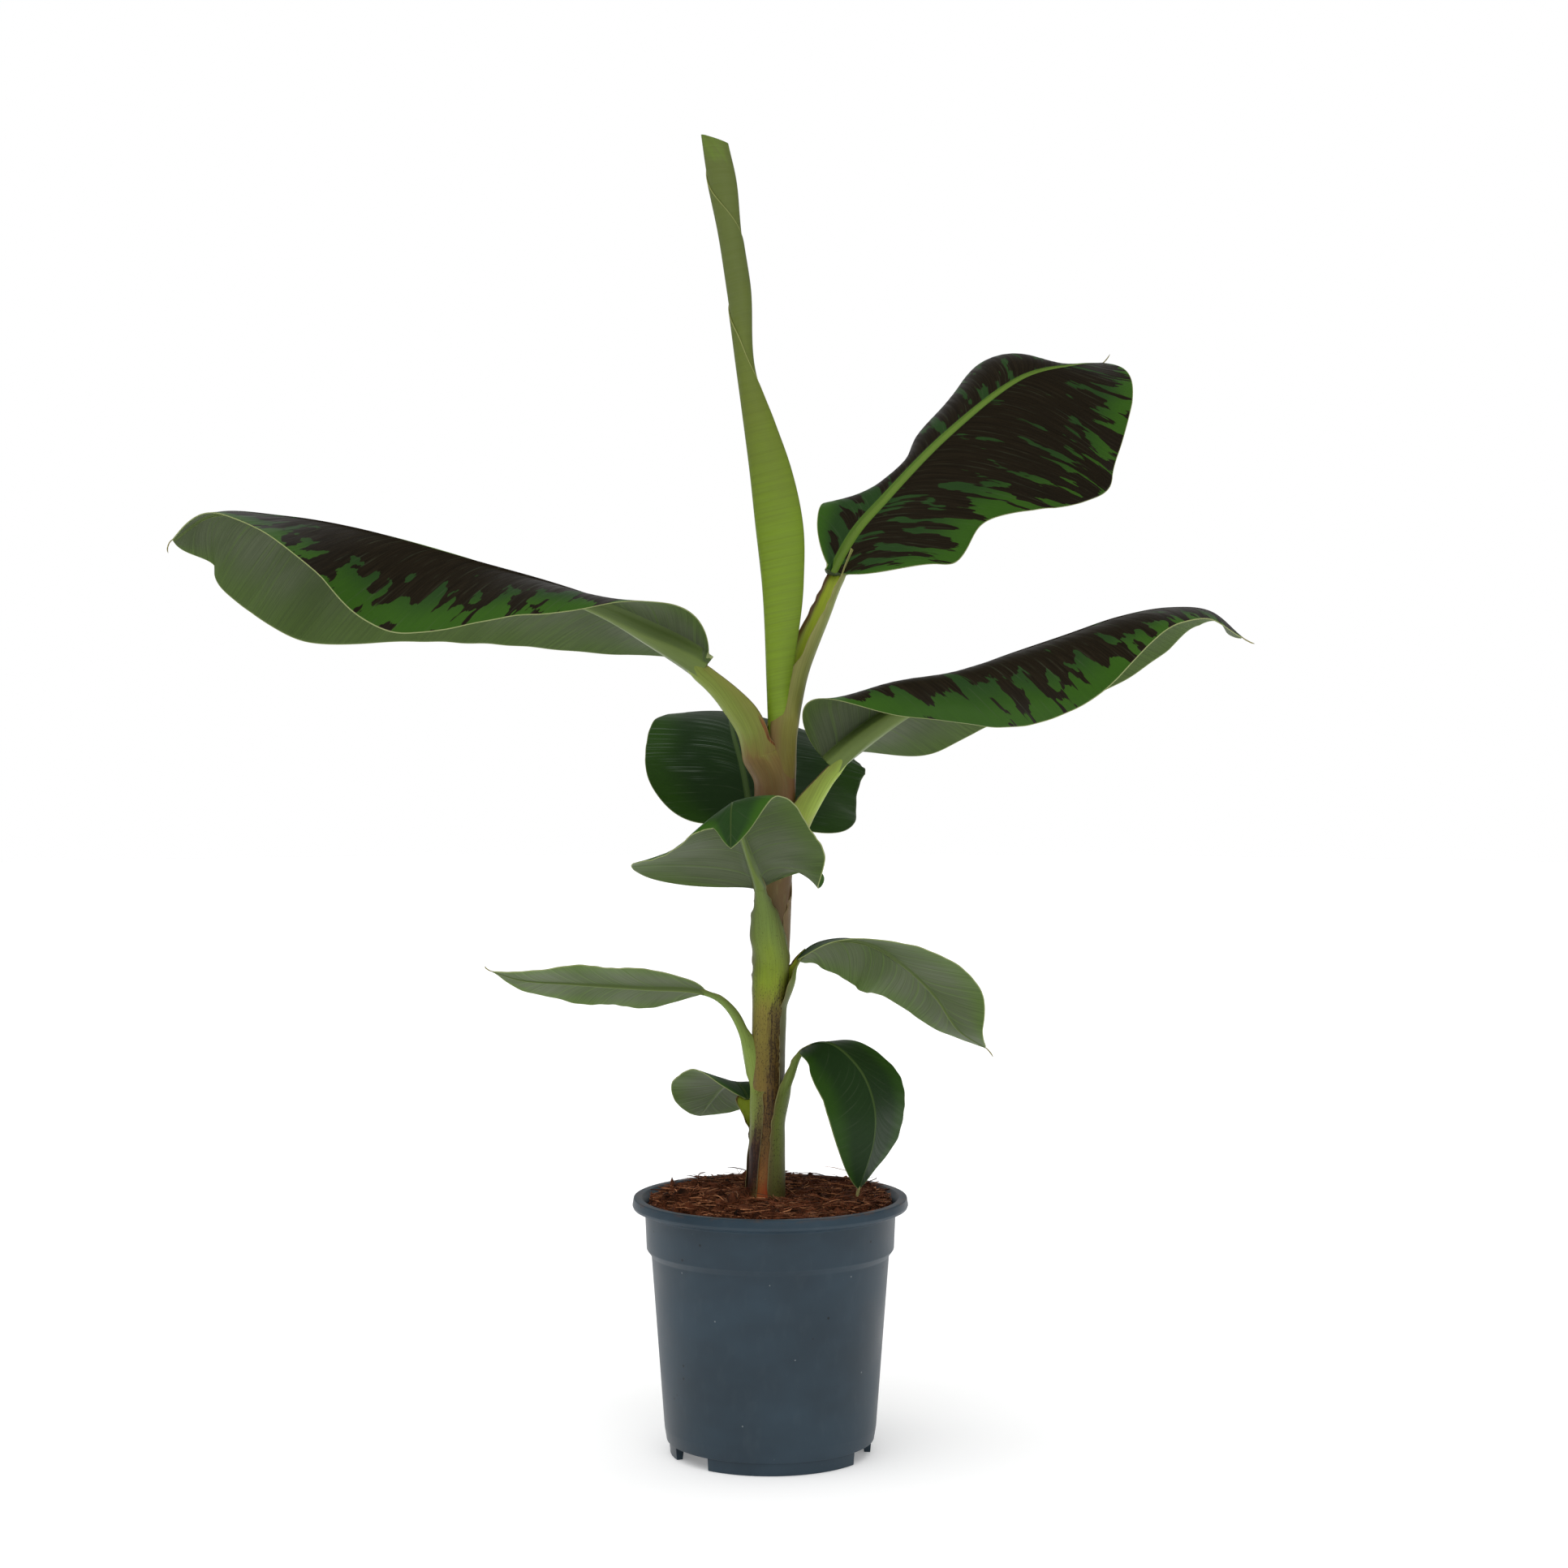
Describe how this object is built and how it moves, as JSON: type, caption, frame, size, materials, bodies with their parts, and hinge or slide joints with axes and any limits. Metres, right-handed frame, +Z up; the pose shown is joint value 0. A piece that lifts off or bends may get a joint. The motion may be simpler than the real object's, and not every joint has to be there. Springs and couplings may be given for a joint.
{
  "type": "potted banana plant",
  "caption": "Young banana plant in a round tapered nursery pot: one leaning stem of nested leaf sheaths, a tall rolled new leaf, and broad arching leaves on stalks at several heights.",
  "frame": {"origin": "middle of the flat underside of the pot, on the ground", "axes": "+Z up along the stem, +X to the right seen from the front, +Y away from the front"},
  "size_m": [0.9631, 0.5456, 1.189],
  "materials": {
    "pot_plastic": "satin",
    "soil": "matte",
    "stem": "satin",
    "rolled_leaf": "satin",
    "petiole": "satin",
    "leaf": "satin"
  },
  "bodies": {
    "root": {"pot": "pot_plastic", "soil": "soil", "pseudostem": "stem", "spear_leaf": "rolled_leaf", "upper_right_petiole": "petiole", "upper_right_blade": "leaf", "upper_right_blade_end": "leaf", "upper_left_petiole": "petiole", "upper_left_blade": "leaf", "right_petiole": "petiole", "right_blade": "leaf", "back_petiole": "petiole", "back_blade": "leaf", "front_petiole": "petiole", "front_blade": "leaf", "front_blade_end": "leaf", "left_low_petiole": "petiole", "left_low_blade": "leaf", "right_mid_petiole": "petiole", "right_mid_blade": "leaf", "right_low_petiole": "petiole", "right_low_blade": "leaf", "left_lowest_petiole": "petiole", "left_lowest_blade": "leaf"}
  },
  "joints": []
}
